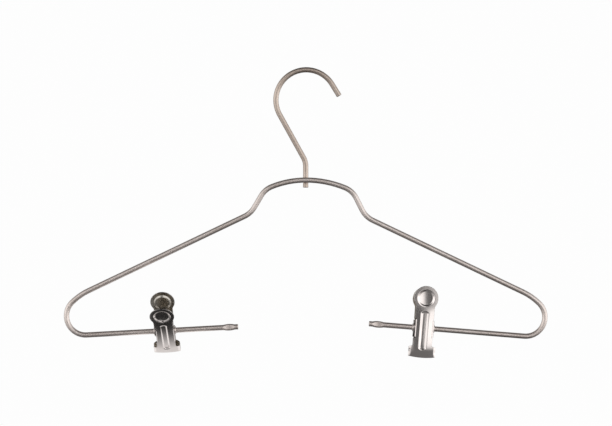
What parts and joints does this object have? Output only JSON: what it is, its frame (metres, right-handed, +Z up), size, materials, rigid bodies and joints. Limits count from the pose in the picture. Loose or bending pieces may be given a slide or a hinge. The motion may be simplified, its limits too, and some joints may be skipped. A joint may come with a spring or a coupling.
{
  "type": "clip hanger",
  "caption": "Wire clothes hanger with a welded hook, open bars and sprung sheet-metal clips that slide and swing on them.",
  "frame": {"origin": "inside top of the hook, where a rail carries the hanger", "axes": "+X along the hanger's width towards the right clip, +Y to the back, +Z up"},
  "size_m": [0.4005, 0.0468, 0.2412],
  "materials": {
    "satin_nickel_wire": "satin nickel plating on drawn steel wire",
    "bright_nickel_sheet": "bright nickel plating on pressed steel sheet",
    "spring_steel": "plated spring wire"
  },
  "bodies": {
    "hanger": {"frame_wire": "satin_nickel_wire", "hook": "satin_nickel_wire"},
    "left_rivet": {"left_hollow_rivet": "bright_nickel_sheet"},
    "left_clip": {"left_rear_jaw": "bright_nickel_sheet", "left_spring": "spring_steel"},
    "left_clip_front": {"left_front_jaw": "bright_nickel_sheet"},
    "right_rivet": {"right_hollow_rivet": "bright_nickel_sheet"},
    "right_clip": {"right_rear_jaw": "bright_nickel_sheet", "right_spring": "spring_steel"},
    "right_clip_front": {"right_front_jaw": "bright_nickel_sheet"}
  },
  "joints": [
    {"name": "left_clip_slide", "type": "slide", "parent": "hanger", "child": "left_rivet", "axis": [0.9985, 0, 0.0541], "range_m": [-0.0434, 0.039]},
    {"name": "left_clip_swing", "type": "hinge", "parent": "left_rivet", "child": "left_clip", "pos_m": [-0.1166, -0.0047, -0.21443], "axis": [0.9985, 0, 0.0541], "continuous": true},
    {"name": "left_jaw_open", "type": "hinge", "parent": "left_clip", "child": "left_clip_front", "pos_m": [-0.1166, -0.0047, -0.21443], "axis": [-0.9985, 0, -0.0541], "range_deg": [0, 28], "stiffness_Nm_per_rad": 0.16, "springref_deg": -57.3, "deforming": ["left_spring"]},
    {"name": "right_clip_slide", "type": "slide", "parent": "hanger", "child": "right_rivet", "axis": [0.9968, 0, -0.0802], "range_m": [-0.0236, 0.0626]},
    {"name": "right_clip_swing", "type": "hinge", "parent": "right_rivet", "child": "right_clip", "pos_m": [0.0975, -0.0047, -0.21223], "axis": [0.9968, 0, -0.0802], "continuous": true},
    {"name": "right_jaw_open", "type": "hinge", "parent": "right_clip", "child": "right_clip_front", "pos_m": [0.0975, -0.0047, -0.21223], "axis": [-0.9968, 0, 0.0802], "range_deg": [0, 28], "stiffness_Nm_per_rad": 0.16, "springref_deg": -57.3, "deforming": ["right_spring"]}
  ]
}
